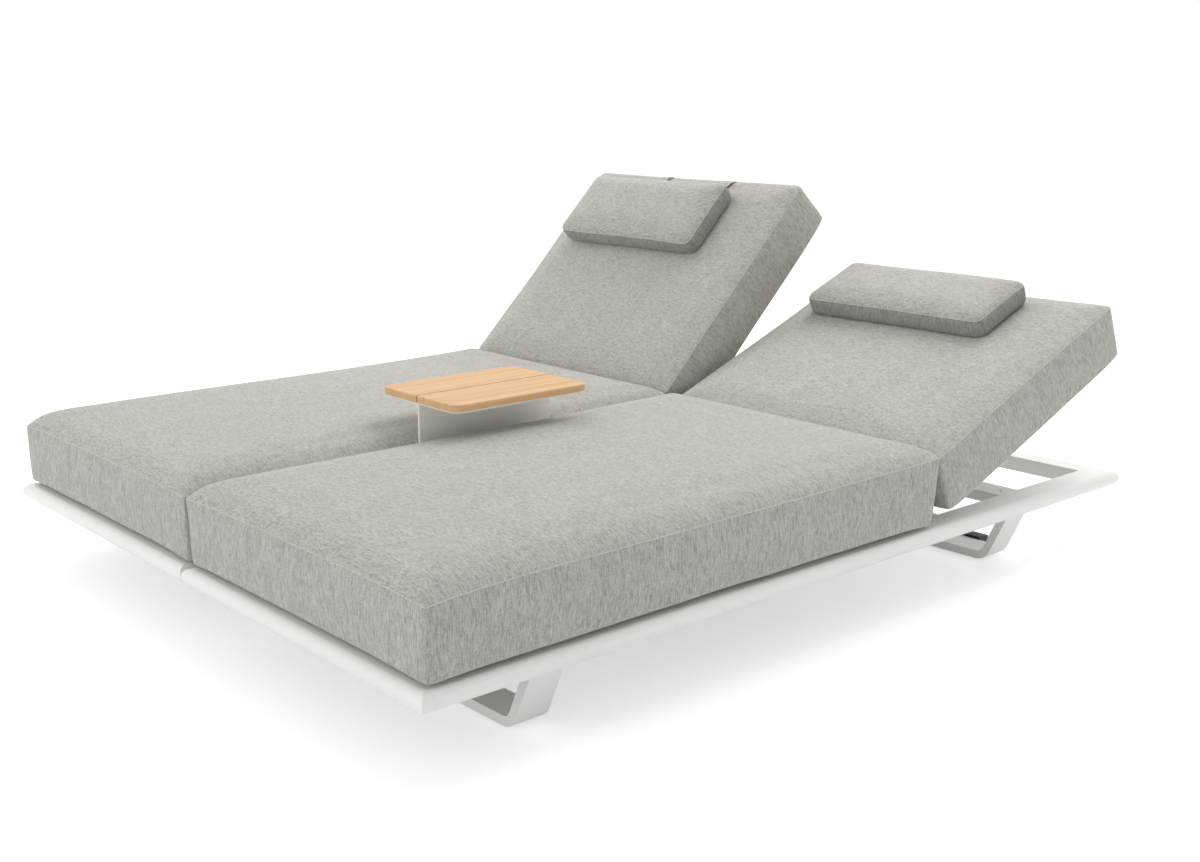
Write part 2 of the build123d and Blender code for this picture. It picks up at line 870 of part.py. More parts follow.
os.makedirs("parts", exist_ok=True)
right = lounger_pieces(right_recline, right_pillow_centre, right_pillow_from_fold)
left = lounger_pieces(left_recline, left_pillow_centre, left_pillow_from_fold)
for name, piece in right.items():
    export_step(piece, "parts/" + name + "_right.step")
for name, piece in left.items():
    export_step(mirror(piece, about=Plane.YZ), "parts/" + name + "_left.step")
for name, piece in shared_pieces().items():
    export_step(piece, "parts/" + name + ".step")
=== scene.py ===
"""Looks of a double chaise lounger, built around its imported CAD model.

Metres, in the CAD frame: X across (0 at the seam between the two loungers), Y from the
foot end to the head end, Z up from the floor.
"""

import json
import logging
import math
from dataclasses import dataclass, field
from enum import Enum
from typing import Iterable, Optional

import bpy
import numpy as np
from mathutils import Matrix, Vector

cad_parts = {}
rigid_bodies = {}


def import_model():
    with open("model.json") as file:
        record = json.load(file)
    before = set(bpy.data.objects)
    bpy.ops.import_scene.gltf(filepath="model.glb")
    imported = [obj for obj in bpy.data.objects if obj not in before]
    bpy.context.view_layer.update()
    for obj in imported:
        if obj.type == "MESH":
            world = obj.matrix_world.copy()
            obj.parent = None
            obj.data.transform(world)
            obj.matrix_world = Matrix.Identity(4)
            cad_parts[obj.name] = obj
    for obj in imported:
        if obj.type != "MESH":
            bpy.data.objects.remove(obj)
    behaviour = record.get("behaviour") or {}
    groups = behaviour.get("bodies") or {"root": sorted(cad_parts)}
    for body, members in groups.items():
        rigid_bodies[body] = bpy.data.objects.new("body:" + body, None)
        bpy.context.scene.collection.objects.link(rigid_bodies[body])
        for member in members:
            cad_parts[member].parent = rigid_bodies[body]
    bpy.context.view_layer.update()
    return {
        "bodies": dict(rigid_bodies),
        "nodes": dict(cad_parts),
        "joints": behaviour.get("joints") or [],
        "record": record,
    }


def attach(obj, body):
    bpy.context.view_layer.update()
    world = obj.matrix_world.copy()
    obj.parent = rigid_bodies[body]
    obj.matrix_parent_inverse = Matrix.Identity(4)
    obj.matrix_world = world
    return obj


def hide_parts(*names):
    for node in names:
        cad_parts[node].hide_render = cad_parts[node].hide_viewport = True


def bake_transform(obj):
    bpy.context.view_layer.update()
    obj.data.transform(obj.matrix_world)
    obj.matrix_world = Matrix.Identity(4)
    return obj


LOG = logging.getLogger("lounger")
Colour = tuple[float, float, float]
Place = tuple[float, float, float]
Pair = tuple[float, float]

PHOTO_WIDTH = 1200
FOCAL_PIXELS = 1461.45
SENSOR_WIDTH = 36.0

# Places shared with the CAD model, in metres
SEAT_FOOT = -0.975
SEAT_BOTTOM = 0.1658
HINGE_Y = 0.3593
HINGE_Z = 0.172
FOLD_TO_HINGE = 0.0563
BACK_RISE = 0.0166
BACK_THICKNESS = 0.125
BACK_LENGTH = 0.677
PILLOW_DEPTH = 0.196
CREEP_PER_RADIAN = 0.1435
CUSHION_MIDDLE = 0.393
CUSHION_CROWN = 0.013

# Places closer than this are the same place
TOUCH = 1e-7

# A cushion's grid: its fewest cells a side, and where its second row lies on a rounded edge
FEWEST_CELLS = 6
SECOND_ROW = 0.29

# How far a cushion's panels lie from its band in the UV map, and where the band's cloth ends
PANEL_SHIFT = 3.0
BAND_ENDS = (0.9, 1.1)

# The most tones by which one row of yarn is shifted along its neighbour
ROW_SHIFT = 9.0

# How a cushion's dome, shoulders and foot rim fade, as powers of the distance from the middle
CROWN_POWERS = (2.4, 3.0)
SHOULDER_POWER = 3.6
DIP_POWERS = (9, 8)
DIP_REACH = 0.035

# Waves of the cloth: their number, pitch and height, broad ones first, then fine ones
BROAD_WAVES = 7
BROAD_PITCH = 9.0
BROAD_HEIGHT = 0.00045
FINE_WAVES = 9
FINE_PITCH = (50.0, 120.0)
FINE_HEIGHT = 0.00022
WAVE_START = (0.0, 6.28)
BASE_WAVE = 0.0007
TOP_WAVE = 0.00035

# The cloth simulation: its frames, how firmly the seams are held and the cloth's own settings
SWELL_FRAMES = 20
SEAM_HOLD = 0.75
CLOTH = {
    "quality": 4,
    "mass": 0.4,
    "tension_stiffness": 18.0,
    "compression_stiffness": 18.0,
    "shear_stiffness": 9.0,
    "bending_stiffness": 3.0,
    "air_damping": 4.0,
    "use_pressure": True,
    "pin_stiffness": 0.6,
}


class Side(Enum):
    """The two loungers: the sign of their X, their back's angle and their pillow's place."""

    RIGHT = ("right", 1.0, 21.5, 0.345, 0.438)
    LEFT = ("left", -1.0, 45.0, 0.455, 0.419)

    @property
    def word(self) -> str:
        """The side's name in node names."""
        return self.value[0]

    @property
    def sign(self) -> float:
        """The sign of the lounger's X."""
        return self.value[1]

    @property
    def recline(self) -> float:
        """The back's angle in the photographed pose, in radians."""
        return math.radians(self.value[2])

    @property
    def pillow_x(self) -> float:
        """The middle of the pillow across the lounger."""
        return self.value[3]

    @property
    def pillow_from_fold(self) -> float:
        """From the fold up the back to the pillow's lower edge."""
        return self.value[4]

    def node(self, name: str) -> str:
        """The CAD node of this name on this side."""
        return f"{name}_{self.word}"

    def pick(self, pair: Pair) -> float:
        """The right or the left one of a pair."""
        return pair[0] if self is Side.RIGHT else pair[1]

    def back_start(self) -> float:
        """Y of the back cushion's foot end, with the back laid flat."""
        return HINGE_Y - FOLD_TO_HINGE + CREEP_PER_RADIAN * self.recline

    def raised(self) -> Matrix:
        """The turn about the hinge that raises the flat back to the photographed pose.

        Returns:
            The turn, in the CAD frame.
        """
        centre = Vector((0.0, HINGE_Y, HINGE_Z))
        turn = Matrix.Rotation(self.recline, 4, "X")
        return Matrix.Translation(centre) @ turn @ Matrix.Translation(-centre)


# Shader maths


class Wire:
    """A node's output socket, with the operators that shader maths uses."""

    def __init__(self, bench: "Bench", socket: bpy.types.NodeSocket) -> None:
        """Wraps a socket of one material."""
        self.bench = bench
        self.socket = socket

    def _maths(self, operation: str, *values: object) -> "Wire":
        """Adds one Math node."""
        settings = {"operation": operation}
        return self.bench.add("ShaderNodeMath", settings, dict(enumerate(values)))

    def __add__(self, other: object) -> "Wire":
        """self + other."""
        return self._maths("ADD", self, other)

    def __radd__(self, other: object) -> "Wire":
        """other + self."""
        return self._maths("ADD", other, self)

    def __sub__(self, other: object) -> "Wire":
        """self - other."""
        return self._maths("SUBTRACT", self, other)

    def __rsub__(self, other: object) -> "Wire":
        """other - self."""
        return self._maths("SUBTRACT", other, self)

    def __mul__(self, other: object) -> "Wire":
        """self * other."""
        return self._maths("MULTIPLY", self, other)

    def __rmul__(self, other: object) -> "Wire":
        """other * self."""
        return self._maths("MULTIPLY", other, self)

    def larger(self, other: object) -> "Wire":
        """The larger of self and other."""
        return self._maths("MAXIMUM", self, other)

    def beside(self, name: str) -> "Wire":
        """Another output of the same node."""
        return Wire(self.bench, self.socket.node.outputs[name])

    def sine(self) -> "Wire":
        """The sine of self."""
        return self._maths("SINE", self)

    def whole(self) -> "Wire":
        """self rounded down."""
        return self._maths("FLOOR", self)

    def ramp(self, low: float, high: float) -> "Wire":
        """self spread from low..high to 0..1, and held there.

        Args:
            low: The value that becomes 0.
            high: The value that becomes 1.

        Returns:
            The spread value.
        """
        settings = {"clamp": True, "interpolation_type": "SMOOTHSTEP"}
        values = {"Value": self, "From Min": low, "From Max": high}
        return self.bench.add("ShaderNodeMapRange", settings, values)


class Bench:
    """The node tree of one material, or of the world, laid out node by node."""

    def __init__(self, owner: "str | bpy.types.World") -> None:
        """Starts an empty tree.

        Args:
            owner: A new material's name, or a world that uses nodes.
        """
        self.owner = bpy.data.materials.new(owner) if isinstance(owner, str) else owner
        self.owner.use_nodes = True
        self.tree = self.owner.node_tree
        self.tree.nodes.clear()

    def add(self, kind: str, settings: Optional[dict] = None, values: Optional[dict] = None,
            out: object = 0) -> Wire:
        """Adds one node.

        Args:
            kind: The node's type.
            settings: Its own settings, set first.
            values: Values or links of its sockets, by name or number.
            out: The output to return, by name or number.

        Returns:
            The wanted output.
        """
        node = self.tree.nodes.new(kind)
        for key, value in (settings or {}).items():
            setattr(node, key, value)
        for key, value in (values or {}).items():
            if isinstance(value, Wire):
                self.tree.links.new(value.socket, node.inputs[key])
            else:
                node.inputs[key].default_value = value
        return Wire(self, node.outputs[out])

    @staticmethod
    def _rgba(colour: object) -> object:
        """A plain colour with its alpha, or a wire as it is."""
        return (*colour, 1.0) if isinstance(colour, tuple) else colour

    def where(self, uv: bool = False) -> Wire:
        """Object coordinates in metres, or the piece's own UV map."""
        out = "UV" if uv else "Object"
        return self.add("ShaderNodeTexCoord", None, None, out)

    def stretched(self, where: Wire, scale: Place) -> Wire:
        """Coordinates scaled for one pattern."""
        return self.add("ShaderNodeMapping", None, {"Vector": where, "Scale": scale})

    def noise(self, where: Wire, scale: float = 1.0, detail: float = 2.0, rough: float = 0.5) -> Wire:
        """Smooth noise from 0 to 1."""
        values = {"Vector": where, "Scale": scale, "Detail": detail, "Roughness": rough}
        return self.add("ShaderNodeTexNoise", None, values, "Fac")

    def yarns(self, side: Wire, run: Wire, width: float, dash: float) -> Wire:
        """Yarns laid side by side, each dyed in dashes of chance tones.

        Args:
            side: The coordinate across the yarns, in metres.
            run: The coordinate along them, in metres.
            width: One yarn's width.
            dash: The length of one tone.

        Returns:
            A tone from 0 to 1.
        """
        row = (side * (1.0 / width)).whole()
        shift = self.add("ShaderNodeTexWhiteNoise", {"noise_dimensions": "1D"}, {"W": row}, "Value")
        spot = (run * (1.0 / dash) + shift * ROW_SHIFT).whole()
        place = self.add("ShaderNodeCombineXYZ", None, {0: row, 1: spot})
        return self.add("ShaderNodeTexWhiteNoise", {"noise_dimensions": "2D"}, {"Vector": place}, "Value")

    def mix(self, share: object, low: object, high: object, blend: str = "MIX") -> Wire:
        """Mixes two colours.

        Args:
            share: How much of the second there is, from 0 to 1.
            low: The first colour.
            high: The second colour.
            blend: How the second is laid over the first.

        Returns:
            The mixed colour.
        """
        settings = {"data_type": "RGBA", "blend_type": blend}
        values = {0: share, 6: self._rgba(low), 7: self._rgba(high)}
        return self.add("ShaderNodeMix", settings, values, 2)

    def bump(self, height: Wire, strength: float, distance: float, under: Optional[Wire] = None) -> Wire:
        """Bumps the surface's normal.

        Args:
            height: The height, from 0 to 1.
            strength: How much of the bump shows.
            distance: The height of 1, in metres.
            under: A normal that is bumped already.

        Returns:
            The bumped normal.
        """
        values = {"Strength": strength, "Distance": distance, "Height": height}
        if under is not None:
            values["Normal"] = under
        return self.add("ShaderNodeBump", None, values, "Normal")

    def finish(self, colour: object, roughness: object, normal: Optional[Wire] = None,
               **sockets: float) -> bpy.types.Material:
        """Closes the material with a Principled shader.

        Args:
            colour: Base colour, a tuple or a wire.
            roughness: A number or a wire.
            normal: The bumped normal.
            sockets: Constants for other sockets, their spaces written as underscores.

        Returns:
            The material.
        """
        values = {"Base Color": self._rgba(colour), "Roughness": roughness}
        if normal is not None:
            values["Normal"] = normal
        values.update({key.replace("_", " "): value for key, value in sockets.items()})
        shader = self.add("ShaderNodeBsdfPrincipled", None, values)
        self.add_output(shader)
        return self.owner

    def add_output(self, shader: Wire, kind: str = "ShaderNodeOutputMaterial") -> None:
        """Links a shader to the tree's output."""
        out = self.tree.nodes.new(kind)
        self.tree.links.new(shader.socket, out.inputs["Surface"])


# Finishes


@dataclass(frozen=True)
class PowderCoat:
    """Off-white satin powder coat with a faint orange-peel surface."""

    colour: Colour = (0.932, 0.917, 0.886)
    shade: Colour = (0.902, 0.887, 0.856)
    peel_scale: float = 520.0
    peel_height: float = 0.00006
    cloud_scale: float = 6.0
    gloss: float = 0.42

    def material(self) -> bpy.types.Material:
        """Makes the coat.

        Returns:
            The material.
        """
        bench = Bench("powder_coat")
        where = bench.where()
        peel = bench.noise(where, self.peel_scale, 2.0, 0.45)
        cloud = bench.noise(where, self.cloud_scale, 3.0)
        colour = bench.mix(cloud.ramp(0.3, 0.75) * 0.5, self.colour, self.shade)
        roughness = 0.4 + peel * 0.08
        normal = bench.bump(peel, 0.35, self.peel_height)
        return bench.finish(colour, roughness, normal, Specular_IOR_Level=self.gloss)


@dataclass(frozen=True)
class LoungerWeave:
    """Heathered warm grey outdoor cloth: pale and dark yarns in short fine streaks.

    The streaks run along V. The band cloth of a cushion lies at V below 1 in the UV map
    and the panels above it, and the band is the more slubbed of the two. The band's colour
    is also darkened by a painted shade, for the shade that falls on a cushion's sides.
    Each kind of yarn is given by its width and by the length of one tone.
    """

    pale: Colour = (0.66, 0.648, 0.600)
    mid: Colour = (0.480, 0.466, 0.428)
    dark: Colour = (0.285, 0.268, 0.240)
    # painted shade: multiplies the band's colour, for the shade that falls on a cushion's sides
    band_tint: Colour = (0.97, 0.955, 0.97)
    thread: float = 0.00085
    name: str = "lounger_weave"
    fine: Pair = (0.0013, 0.011)
    thick: Pair = (0.0021, 0.006)
    long: Pair = (0.0010, 0.017)
    slub: Pair = (0.0017, 0.010)
    weft: Pair = (0.0014, 0.005)
    yarn_height: float = 0.0010
    thread_height: float = 0.0002
    sway: Pair = (0.004, 0.003)  # how far the yarns wander across and along

    def material(self) -> bpy.types.Material:
        """Makes the cloth, which reads the piece's own UV map in metres.

        Returns:
            The material.
        """
        bench = Bench(self.name)
        where = bench.where(uv=True)
        along = bench.add("ShaderNodeSeparateXYZ", None, {0: where}, "Y")
        across = along.beside("X")
        sway = bench.noise(bench.stretched(where, (40.0, 40.0, 1.0)))
        side = across + (sway - 0.5) * self.sway[0]
        run = along + (sway - 0.5) * self.sway[1]
        fine = bench.yarns(side, run, *self.fine)
        thick = bench.yarns(side, run, *self.thick)
        long = bench.yarns(side, run, *self.long)
        slub = bench.yarns(side, run, *self.slub)
        weft = bench.yarns(run, side, *self.weft)
        speck = bench.noise(where, 620.0, 1.0)
        # painted shade of small vertical gathers on the band, in its colour as well as its bump
        fold = bench.noise(bench.stretched(where, (120.0, 9.0, 1.0)), 1.0, 1.0)
        cloud = bench.noise(where, 14.0, 3.0)
        band = 1.0 - along.ramp(*BAND_ENDS)
        yarn = fine * 0.21 + thick * 0.20 + weft * 0.18 + speck * 0.08 + 0.165
        slubbed = long * 0.27 + slub * 0.29 + weft * 0.16 + fold * 0.17 + 0.055
        tone = yarn + (slubbed - yarn) * band
        light = tone.ramp(0.07, 0.93)
        dark = bench.mix(light, self.dark, self.mid)
        colour = bench.mix(light, dark, self.pale)
        colour = bench.mix(cloud.ramp(0.35, 0.75) * 0.10, colour, self.dark)
        turns = 2.0 * math.pi / self.thread
        weave = (across * turns).sine() * (along * turns).sine()
        # painted shade: the band's colour is darkened here, for the shade on a cushion's sides
        band_shaded = bench.mix(band, colour, self.band_tint, "MULTIPLY")
        normal = bench.bump(tone, 0.25, self.yarn_height)
        normal = bench.bump(weave, 0.3, self.thread_height, normal)
        return bench.finish(band_shaded, 0.93, normal, Specular_IOR_Level=0.15,
                            Sheen_Weight=0.1, Sheen_Roughness=0.5)


@dataclass(frozen=True)
class SeamThread:
    """Pale sewing thread over folded cloth, mottled as its stitches are."""

    colour: Colour = (0.76, 0.738, 0.688)
    dark: Colour = (0.49, 0.47, 0.433)
    mottle_scale: float = 700.0
    mottle_height: float = 0.0004

    def material(self) -> bpy.types.Material:
        """Makes the thread.

        Returns:
            The material.
        """
        bench = Bench("seam_thread")
        mottled = bench.noise(bench.where(), self.mottle_scale)
        colour = bench.mix(mottled.ramp(0.4, 0.62), self.dark, self.colour)
        normal = bench.bump(mottled, 0.5, self.mottle_height)
        return bench.finish(colour, 0.85, normal, Specular_IOR_Level=0.2)


@dataclass(frozen=True)
class OiledTeak:
    """Light oiled teak with fine straight grain along Y.

    The two planks differ by a shift of the grain. Each layer of the grain is given by its
    scale along X, Y and Z.
    """

    pale: Colour = (0.80, 0.52, 0.28)
    mid: Colour = (0.70, 0.42, 0.205)
    dark: Colour = (0.47, 0.25, 0.11)
    shift: float = 0.0
    wander: Place = (9.0, 2.2, 9.0)
    figure: Place = (60.0, 1.4, 60.0)
    grain: Place = (260.0, 5.0, 260.0)
    pores: Place = (1400.0, 38.0, 1400.0)
    grain_height: float = 0.0003

    def material(self) -> bpy.types.Material:
        """Makes the wood of one plank.

        Returns:
            The material.
        """
        bench = Bench(f"oiled_teak_{int(self.shift * 10)}")
        where = bench.add("ShaderNodeVectorMath", {"operation": "ADD"},
                          {0: bench.where(), 1: (self.shift, 0.0, 0.0)})
        wander = bench.noise(bench.stretched(where, self.wander))
        grain = bench.noise(bench.stretched(where, self.grain), 1.0, 4.0, 0.6)
        figure = bench.noise(bench.stretched(where, self.figure), 1.0, 3.0)
        pores = bench.noise(bench.stretched(where, self.pores), 1.0, 1.0)
        tone = figure * 0.6 + grain * 0.4
        base = bench.mix(tone.ramp(0.36, 0.66), self.mid, self.pale)
        base = bench.mix(wander.ramp(0.45, 0.75) * 0.35, base, self.mid)
        colour = bench.mix(pores.ramp(0.60, 0.74) * 0.45, base, self.dark)
        normal = bench.bump(grain * 0.6 + pores * -0.5, 0.35, self.grain_height)
        return bench.finish(colour, 0.48 + grain * 0.12, normal, Specular_IOR_Level=0.35)


@dataclass(frozen=True)
class PlainFinish:
    """A plain finish with a fine grain: moulded plastic, brass-coloured or steel fasteners."""

    name: str
    colour: Colour
    worn: Colour
    metallic: float
    roughness: float
    grain: float
    grain_height: float = 0.0001
    cloud_scale: float = 30.0

    def material(self) -> bpy.types.Material:
        """Makes the finish.

        Returns:
            The material.
        """
        bench = Bench(self.name)
        where = bench.where()
        fine = bench.noise(where, self.grain)
        cloud = bench.noise(where, self.cloud_scale, 3.0)
        colour = bench.mix(cloud.ramp(0.35, 0.7), self.colour, self.worn)
        normal = bench.bump(fine, 0.25, self.grain_height)
        return bench.finish(colour, self.roughness + fine * 0.1, normal, Metallic=self.metallic)


GLIDE_PLASTIC = PlainFinish("glide_plastic", (0.022, 0.022, 0.023), (0.035, 0.035, 0.036), 0.0, 0.55, 900.0)
SCREW_METAL = PlainFinish("screw_metal", (0.80, 0.72, 0.56), (0.72, 0.64, 0.48), 1.0, 0.38, 600.0)
PIN_STEEL = PlainFinish("pin_steel", (0.60, 0.60, 0.61), (0.5, 0.5, 0.51), 1.0, 0.34, 600.0)


# Mesh work


class Shop:
    """Small mesh operations that every piece uses."""

    @staticmethod
    def clear_selection() -> None:
        """Leaves nothing selected."""
        bpy.ops.object.select_all(action="DESELECT")

    @classmethod
    def only(cls, piece: bpy.types.Object) -> None:
        """Selects one object and makes it the active one.

        Args:
            piece: The object.
        """
        cls.clear_selection()
        piece.select_set(True)
        bpy.context.view_layer.objects.active = piece

    @staticmethod
    def points(piece: bpy.types.Object) -> np.ndarray:
        """The mesh's vertices.

        Args:
            piece: The object.

        Returns:
            An array with one row for each vertex.
        """
        found = np.empty(len(piece.data.vertices) * 3)
        piece.data.vertices.foreach_get("co", found)
        return found.reshape(-1, 3)

    @staticmethod
    def set_points(piece: bpy.types.Object, points: np.ndarray) -> None:
        """Moves the mesh's vertices to the rows of an array."""
        piece.data.vertices.foreach_set("co", points.ravel())
        piece.data.update()

    @staticmethod
    def uv_layer(piece: bpy.types.Object) -> bpy.types.MeshUVLoopLayer:
        """The piece's own UV map, added where there is none."""
        layers = piece.data.uv_layers
        return layers.get("UVMap") or layers.new(name="UVMap")

    @classmethod
    def apply_modifier(cls, piece: bpy.types.Object, kind: str, **settings: object) -> None:
        """Adds a modifier and applies it.

        Args:
            piece: The object.
            kind: The modifier's type.
            settings: The modifier's settings.
        """
        cls.only(piece)
        bpy.ops.object.modifier_add(type=kind)
        modifier = piece.modifiers[-1]
        for key, value in settings.items():
            setattr(modifier, key, value)
        bpy.ops.object.modifier_apply(modifier=modifier.name)

    @staticmethod
    def place(piece: bpy.types.Object, matrix: Matrix) -> None:
        """Moves a piece by moving its mesh, so that its object stays at the origin."""
        piece.data.transform(matrix)
        piece.data.update()

    @staticmethod
    def dress(piece: bpy.types.Object, material: bpy.types.Material) -> None:
        """Gives a piece one material."""
        piece.data.materials.clear()
        piece.data.materials.append(material)

    @classmethod
    def smooth(cls, piece: bpy.types.Object, angle: float = 180.0) -> None:
        """Shades a piece smooth up to an angle."""
        cls.only(piece)
        bpy.ops.object.shade_smooth_by_angle(angle=math.radians(angle))


# Soft pieces


@dataclass
class BoxCushion:
    """A boxed foam cushion: two panels joined by a side band, with sewn seams.

    Its own axes are x across, y from its lower edge and z up from its base. It is laid
    out on a grid, rounded at its edges, crowned, drawn in between its corners and
    swelled by a cloth simulation, and only then put in its place.
    """

    name: str
    width: float
    length: float
    thickness: float
    crown: float  # how far the top's middle stands up
    shoulder: float = 0.020  # how far the top rises from its rims
    shoulder_width: float = 0.090
    edge: float = 0.005  # radius of the top edges
    base_edge: float = 0.012
    corner: float = 0.006  # radius of the corners, seen from above
    base_corner: float = 0.018
    dip: float = 0.0  # how far the top rim dips at the foot end
    lean: float = 0.0  # how far the head end is drawn in at its base
    rise: float = 0.0  # how far the top rises to the head end
    heel: float = 0.0  # how far the base lifts to the head end
    tuck: float = 0.0  # how far the base is drawn in all round
    waist: float = 0.004  # how far the sides are drawn in at their middles
    bulge: float = 0.005  # how far the band stands out
    spacing: float = 0.012  # one cell of the grid
    sag: float = 0.005  # how far the base lifts to its rims
    end_sag: float = 1.0  # the ends' share of it
    swell: float = 0.006  # the most that the cloth may travel
    pressure: float = 3.0
    seed: int = 1
    seam_radius: float = 0.0013
    sewn: tuple[str, ...] = ("top", "base")
    cells: tuple[int, ...] = field(init=False, default=(0, 0, 0))
    rim: dict[str, list[int]] = field(init=False, default_factory=dict)

    @property
    def half(self) -> np.ndarray:
        """Half the width, length and thickness."""
        return np.array([self.width, self.length, self.thickness]) / 2

    @staticmethod
    def _spread(size: float, count: int, edge: float) -> np.ndarray:
        """Grid places from -size/2 to size/2, close together near both edges.

        Args:
            size: The cushion's size that way.
            count: How many places there are.
            edge: The radius of the edge.

        Returns:
            The places in order.
        """
        inner = np.linspace(-size / 2 + edge, size / 2 - edge, count - 4)
        near = [-size / 2, -size / 2 + SECOND_ROW * edge]
        far = [size / 2 - SECOND_ROW * edge, size / 2]
        return np.concatenate([near, inner, far])

    def _grid_box(self) -> bpy.types.Object:
        """Models a closed box, 2 m a side, from two grids whose rims are bridged.

        Returns:
            The box's mesh object.
        """
        sizes = (self.width, self.length, self.thickness)
        self.cells = tuple(max(FEWEST_CELLS, round(size / self.spacing)) for size in sizes)
        Shop.clear_selection()
        bpy.ops.mesh.primitive_grid_add(x_subdivisions=self.cells[0], y_subdivisions=self.cells[1],
                                        size=2.0, location=(0.0, 0.0, 1.0))
        piece = bpy.context.active_object
        piece.name = self.name
        piece.data.name = self.name
        bpy.ops.object.mode_set(mode="EDIT")
        bpy.ops.mesh.select_all(action="SELECT")
        bpy.ops.mesh.duplicate()
        bpy.ops.transform.translate(value=(0.0, 0.0, -2.0))
        bpy.ops.mesh.flip_normals()
        bpy.ops.mesh.select_all(action="DESELECT")
        bpy.ops.mesh.select_mode(type="EDGE")
        bpy.ops.mesh.select_non_manifold(extend=False)
        bpy.ops.mesh.bridge_edge_loops(number_cuts=self.cells[2] - 1)
        bpy.ops.mesh.select_all(action="SELECT")
        bpy.ops.mesh.normals_make_consistent(inside=False)
        bpy.ops.object.mode_set(mode="OBJECT")
        Shop.place(piece, piece.matrix_world.copy())
        piece.matrix_world = Matrix.Identity(4)
        return piece

    def _lay_out(self, piece: bpy.types.Object) -> np.ndarray:
        """Stretches the plain grid to the cushion's size, with close rows near its edges.

        Args:
            piece: The plain box.

        Returns:
            The stretched places, one row for each vertex.
        """
        points = Shop.points(piece)
        laid = np.empty_like(points)
        for axis, size in enumerate((self.width, self.length, self.thickness)):
            count = self.cells[axis] + 1
            index = np.rint((points[:, axis] + 1.0) / 2.0 * (count - 1)).astype(int)
            laid[:, axis] = self._spread(size, count, self.edge)[index]
        return laid

    def _mark_rims(self, laid: np.ndarray) -> None:
        """Remembers the vertices of the two panels' rims, in order round the cushion.

        Args:
            laid: The stretched places.
        """
        half = self.half
        on_side = np.abs(np.abs(laid[:, :2]) - half[:2]).min(axis=1) < TOUCH
        for word, sign in (("top", 1.0), ("base", -1.0)):
            found = np.nonzero(on_side & (np.abs(laid[:, 2] - sign * half[2]) < TOUCH))[0]
            self.rim[word] = sorted(found.tolist(), key=lambda i: self._way_round(*laid[i, :2]))

    def _way_round(self, x: float, y: float) -> float:
        """How far round the rim a point lies.

        Args:
            x: The point's place across the cushion.
            y: Its place along the cushion.

        Returns:
            Metres round from one corner.
        """
        wide, long = self.width, self.length
        if abs(y + long / 2) < TOUCH:
            return x + wide / 2
        if abs(x - wide / 2) < TOUCH:
            return wide + y + long / 2
        if abs(y - long / 2) < TOUCH:
            return wide + long + wide / 2 - x
        return 2 * wide + long + long / 2 - y

    def _map_cloth(self, piece: bpy.types.Object, laid: np.ndarray) -> None:
        """Gives the cloth its UV map in metres: flat on the panels, round and up on the band.

        Args:
            piece: The cushion.
            laid: The stretched places.
        """
        layer = Shop.uv_layer(piece)
        half = self.thickness / 2
        for face in piece.data.polygons:
            corners = [laid[v] for v in face.vertices]
            if all(abs(abs(c[2]) - half) < TOUCH for c in corners):
                places = [(c[1] + PANEL_SHIFT, c[0] + PANEL_SHIFT) for c in corners]
            else:
                rounds = [self._way_round(c[0], c[1]) for c in corners]
                if max(rounds) - min(rounds) > self.width / 2:
                    total = 2 * (self.width + self.length)
                    rounds = [r + total if r < total / 2 else r for r in rounds]
                places = [(r, c[2]) for r, c in zip(rounds, corners)]
            for loop, place in zip(face.loop_indices, places):
                layer.data[loop].uv = place

    def _rounded(self, laid: np.ndarray) -> np.ndarray:
        """Rounds the box's edges: small at the top seam, larger underneath and at the corners.

        Args:
            laid: The stretched places.

        Returns:
            The rounded places.
        """
        half = self.half
        share = np.clip((laid[:, 2] + half[2]) / self.thickness, 0.0, 1.0)
        radius = self.base_edge + (self.edge - self.base_edge) * share
        points = laid.copy()
        corner = np.maximum(radius, self.base_corner + (self.corner - self.base_corner) * share)
        core = half[:2] - corner[:, None]
        inner = np.clip(points[:, :2], -core, core)
        away = points[:, :2] - inner
        far = np.abs(away).max(axis=1)
        size = np.maximum(np.linalg.norm(away, axis=1), 1e-12)
        points[:, :2] = inner + away * (far / size)[:, None]
        low_core = half[2] - radius
        rise = np.abs(points[:, 2]) - low_core
        reach = np.maximum(radius - (corner - far), 0.0)
        reach = np.where(far > 0, reach, 0.0)
        both = (rise > 0) & (reach > 0)
        length = np.maximum(np.hypot(rise, reach), 1e-12)
        square = np.maximum(rise, reach)
        direction = np.where(size[:, None] > 1e-9, away / size[:, None], 0.0)
        shift = np.where(both, reach * square / length - reach, 0.0)
        points[:, :2] += direction * shift[:, None]
        lift = np.where(both, rise * square / length - rise, 0.0)
        points[:, 2] += np.sign(points[:, 2]) * lift
        return points

    def _rise_from(self, distance: np.ndarray) -> np.ndarray:
        """How far the shoulder has risen at a distance from an edge, from 0 to 1."""
        left = 1.0 - np.clip(distance / self.shoulder_width, 0.0, 1.0)
        return 1.0 - left ** SHOULDER_POWER

